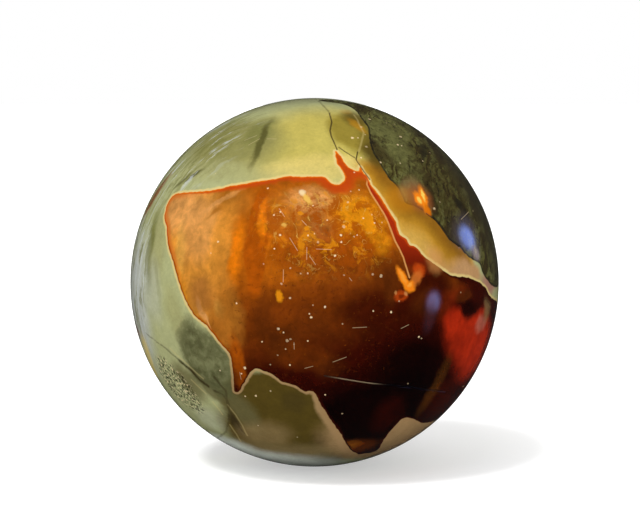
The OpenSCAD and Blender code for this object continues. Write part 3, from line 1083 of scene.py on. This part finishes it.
def jasper(settings, colours):
    """The polished stone."""
    material = bpy.data.materials.new("jasper")
    material.use_nodes = True
    shader = Shader(material.node_tree, colours)
    here = shader.node("ShaderNodeTexCoord", {}, {}, "Object")
    place = shader.vector("SCALE", here, Scale=1 / BALL_RADIUS)
    drifted = shader.warp(place, 8, 0.075)
    wobble = (shader.noise(place, 30, 3) - 0.5) * 0.5

    amber, depth = amber_paint(shader, drifted, wobble)
    ground = ground_paint(shader, drifted, wobble, depth)
    moss_depth = shader.attribute("moss") + wobble
    ground = shader.mix(shader.smooth(moss_depth, -0.06, 0.1), ground, moss_paint(shader, drifted))
    border = shader.smooth(shader.math("ABSOLUTE", moss_depth - 0.15), 0.3, 0.1)
    ground = shader.mix(border * 0.8, ground, shader.paint("coal"))
    deep = shader.dab(place, -42, -24, 8, 7, 0, 0.7)
    seam = shader.smooth(shader.attribute("seam") + wobble, 0.35 + 0.2 * deep, 0.05)
    ground = shader.mix(seam * (0.45 + 0.5 * deep), ground, shader.paint("bark"))
    paint = shader.mix(shader.smooth(depth, -0.05, 0.05), ground, amber)
    paint = shader.dabs(shader.warp(place, 30, 0.03), paint, SPOT_DABS)

    # The open cracks are painted dark brown above the equator. Along the lower crack the light glint colour
    # is painted instead, a painted highlight.
    crack = shader.smooth(shader.attribute("crack"), 0.16, 0.04)
    glinting_crack = shader.dab(place, 13, -24.5, 9, 4, 5, 1)
    crack_marks = shader.mix(glinting_crack, shader.paint("crack"), shader.paint("glint"))
    upper_cracks = 0.8 * shader.smooth(shader.node("ShaderNodeSeparateXYZ", {}, {0: place}, "Z"), -0.1, 0.1)
    paint = shader.mix(crack * (upper_cracks + glinting_crack * 0.4), paint, crack_marks)
    pocket = shader.dab(
        place,
        *(math.degrees(angle) for angle in (settings.pocket_turn, settings.pocket_rise)),
        *(math.degrees(size / 2 / BALL_RADIUS) for size in (settings.pocket_width, settings.pocket_length)),
        math.degrees(settings.pocket_lean),
        0.4,
    )
    # In the pocket, dark specks are painted near black and light specks in the glint colour, as painted
    # highlights on its pits. Each open pit is painted near black as well.
    specks = shader.noise(place, 75, 2)
    paint = shader.mix(pocket * shader.smooth(specks, 0.5, 0.4) * 0.7, paint, shader.paint("coal"))
    paint = shader.mix(pocket * shader.smooth(specks, 0.58, 0.66) * 0.9, paint, shader.paint("glint"))
    paint = shader.mix(shader.smooth(shader.attribute("pit"), 1, 0.6) * 0.8, paint, shader.paint("coal"))
    # Painted highlights: light specks for the glints of tiny polishing pits, and the scratches painted
    # faintly in the same light colour.
    grit = 1.5 * (shader.noise(place, 130, 2) - 0.5)
    glint = shader.smooth(shader.attribute("glint") + grit, 1.3, 0.6)
    glint = glint * (0.4 + 0.6 * shader.smooth(shader.noise(place, 19, 1), 0.42, 0.56))
    scratch = shader.smooth(shader.attribute("scratch"), 0.09, 0.03)
    marks = shader.math("MAXIMUM", glint, scratch * 0.35)
    paint = shader.mix(marks, paint, shader.paint("glint"))

    rough = settings.polish + 0.05 * shader.noise(place, 60, 3)
    rough = rough + 0.5 * shader.smooth(shader.attribute("crack"), 0.2, 0.1)
    bump = shader.node(
        "ShaderNodeBump", {}, {"Strength": 0.04, "Distance": 0.1 * MM, "Height": shader.noise(place, 160, 4)}
    )
    surface = shader.node(
        "ShaderNodeBsdfPrincipled", {},
        {
            "Base Color": paint,
            "Roughness": rough,
            "Specular IOR Level": 0.4,
            "Normal": bump,
        },
    )
    shader.node("ShaderNodeOutputMaterial", {}, {"Surface": surface})
    return material


class JASPER_OT_ball(bpy.types.Operator):
    """Make the patterned ball in place of its plain solid"""

    bl_idname = "jasper.ball"
    bl_label = "Make Ball"

    def execute(self, context):
        settings = context.scene.jasper_ball
        mesh = ball_mesh(settings)
        store_fields(mesh, settings)
        material = jasper(settings, context.scene.jasper_colours)
        piece = bpy.data.objects.new("jasper_ball", with_flaws(mesh, settings, material))
        if not piece.data.polygons:
            raise RuntimeError("the ball has no faces")
        context.scene.collection.objects.link(piece)
        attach(piece, "root")
        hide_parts("ball")
        return {"FINISHED"}


def seen(nodes):
    """1 for the rays that show the background itself, in the view, in gloss and through glass."""
    camera, gloss, glass = (
        nodes.node("ShaderNodeLightPath", {}, {}, name)
        for name in ("Is Camera Ray", "Is Glossy Ray", "Is Transmission Ray")
    )
    return nodes.math("MAXIMUM", nodes.math("MAXIMUM", camera, gloss), glass)


def make_world(settings):
    """Even light from all round, behind a background that shows white."""
    world = bpy.data.worlds.new("daylight")
    world.use_nodes = True
    bpy.context.scene.world = world
    nodes = Nodes(world.node_tree)
    daylight = (settings.daylight,) * 3 + (1,)
    light = nodes.mix(seen(nodes), daylight, WHITE)
    sky = nodes.node("ShaderNodeBackground", {}, {"Color": light, "Strength": 1})
    nodes.node("ShaderNodeOutputWorld", {}, {"Surface": sky})


def make_floor(settings):
    """A pale floor that the ball touches, which keeps its shadow."""
    half = settings.floor_size / 2
    corners = [(x * half, y * half, LOW_CORNER.z) for x, y in ((-1, -1), (1, -1), (1, 1), (-1, 1))]
    mesh = bpy.data.meshes.new("floor")
    mesh.from_pydata(corners, [], [(0, 1, 2, 3)])
    floor = bpy.data.objects.new("floor", mesh)
    bpy.context.scene.collection.objects.link(floor)
    material = bpy.data.materials.new("pale floor")
    material.use_nodes = True
    nodes = Nodes(material.node_tree)
    bounced, shown = ((paleness,) * 3 + (1,) for paleness in (settings.floor_bounce, settings.floor_seen))
    pale = nodes.mix(seen(nodes), bounced, shown)
    matt = nodes.node("ShaderNodeBsdfDiffuse", {}, {"Color": pale})
    lit = nodes.mix(seen(nodes), BLACK, WHITE)
    lift = nodes.node("ShaderNodeEmission", {}, {"Color": lit, "Strength": settings.floor_lift})
    both = nodes.node("ShaderNodeAddShader", {}, {0: matt, 1: lift})
    nodes.node("ShaderNodeOutputMaterial", {}, {"Surface": both})
    mesh.materials.append(material)
    floor.visible_glossy = False
    return floor


def make_sun(name, strength, direction, spread, receiver=None):
    """A soft light from one side, spread in degrees, which the gloss doesn't show.

    With a receiver, it lights that object alone.
    """
    sun = bpy.data.lights.new(name, "SUN")
    sun.energy = strength
    sun.angle = math.radians(spread)
    holder = bpy.data.objects.new(name, sun)
    holder.rotation_euler = Vector(direction).to_track_quat("Z", "Y").to_euler()
    holder.visible_glossy = False
    bpy.context.scene.collection.objects.link(holder)
    if receiver:
        lit = bpy.data.collections.new(name + " receivers")
        lit.objects.link(receiver)
        holder.light_linking.receiver_collection = lit


def make_room(settings):
    """The dim room that the polish mirrors: only the gloss sees it."""
    bm = bmesh.new()
    bmesh.ops.create_uvsphere(bm, u_segments=32, v_segments=16, radius=ROOM_RADIUS)
    bmesh.ops.reverse_faces(bm, faces=bm.faces)
    mesh = bpy.data.meshes.new("room")
    bm.to_mesh(mesh)
    bm.free()
    room = bpy.data.objects.new("room", mesh)
    bpy.context.scene.collection.objects.link(room)
    for rays in ("camera", "diffuse", "transmission", "volume_scatter", "shadow"):
        setattr(room, f"visible_{rays}", False)
    material = bpy.data.materials.new("room")
    material.use_nodes = True
    shader = Shader(material.node_tree)
    here = shader.node("ShaderNodeTexCoord", {}, {}, "Object")
    place = shader.vector("SCALE", here, Scale=1 / ROOM_RADIUS)
    glow = (*settings.room_light, 1)
    for tint, turn, rise, half_w, half_h, lean, softness, strength in WINDOWS:
        weight = shader.dab(place, turn, rise, half_w, half_h, lean, softness)
        glow = shader.mix(weight * strength, glow, (*tint, 1))
    glow = shader.node("ShaderNodeEmission", {}, {"Color": glow})
    shader.node("ShaderNodeOutputMaterial", {}, {"Surface": glow})
    mesh.materials.append(material)


def make_camera(settings):
    """A long lens at eye height, with the frame shifted so that the ball sits where it should."""
    # Pixels: the picture's width and the ball's radius, then how far the ball sits to the left and down
    picture_w, ball_px = 640, 184.3
    left_px, down_px = 5.4, 19.3
    camera = bpy.data.cameras.new("camera")
    half_angle = math.asin(BALL_RADIUS / settings.eye_distance)
    camera.sensor_width = 36
    camera.lens = ball_px / picture_w * camera.sensor_width / math.tan(half_angle)
    camera.shift_x = left_px / picture_w
    camera.shift_y = down_px / picture_w
    holder = bpy.data.objects.new("camera", camera)
    holder.location = towards(0, math.degrees(settings.eye_rise)) * settings.eye_distance
    holder.rotation_euler = (math.pi / 2 - settings.eye_rise, 0, 0)
    bpy.context.scene.collection.objects.link(holder)
    bpy.context.scene.camera = holder


class JASPER_OT_stage(bpy.types.Operator):
    """Make the floor, the lamps and the camera"""

    bl_idname = "jasper.stage"
    bl_label = "Make Stage"

    def execute(self, context):
        settings = context.scene.jasper_stage
        context.scene.view_settings.view_transform = "Standard"
        make_world(settings)
        floor = make_floor(settings)
        make_room(settings)
        make_sun("key", settings.key_strength, direction=(-0.32, -0.62, 1), spread=35)
        make_sun("fill", settings.fill_strength, direction=(0.1, -1, 0.15), spread=60)
        make_sun(
            "floor light", settings.floor_strength, direction=(-0.4, -0.47, 1), spread=16, receiver=floor
        )
        make_camera(settings)
        if context.scene.camera is None:
            raise RuntimeError("the stage has no camera")
        return {"FINISHED"}


class VIEW3D_PT_jasper(bpy.types.Panel):
    """Sizes, colours and buttons of the jasper sphere"""

    bl_label = "Jasper Sphere"
    bl_space_type = "VIEW_3D"
    bl_region_type = "UI"
    bl_category = "Jasper"

    def draw(self, context):
        scene = context.scene
        for settings in (scene.jasper_ball, scene.jasper_stage, scene.jasper_colours):
            box = self.layout.box()
            for name in settings.bl_rna.properties.keys():
                if name not in {"rna_type", "name"}:
                    box.prop(settings, name)
        self.layout.operator("jasper.ball")
        self.layout.operator("jasper.stage")


CLASSES = (JasperColours, BallSettings, StageSettings, JASPER_OT_ball, JASPER_OT_stage, VIEW3D_PT_jasper)


def register():
    for cls in CLASSES:
        bpy.utils.register_class(cls)
    bpy.types.Scene.jasper_colours = PointerProperty(type=JasperColours)
    bpy.types.Scene.jasper_ball = PointerProperty(type=BallSettings)
    bpy.types.Scene.jasper_stage = PointerProperty(type=StageSettings)


def unregister():
    del bpy.types.Scene.jasper_stage
    del bpy.types.Scene.jasper_ball
    del bpy.types.Scene.jasper_colours
    for cls in reversed(CLASSES):
        bpy.utils.unregister_class(cls)


def main():
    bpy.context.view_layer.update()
    register()
    bpy.ops.jasper.stage()
    bpy.ops.jasper.ball()


if __name__ == "__main__":
    main()
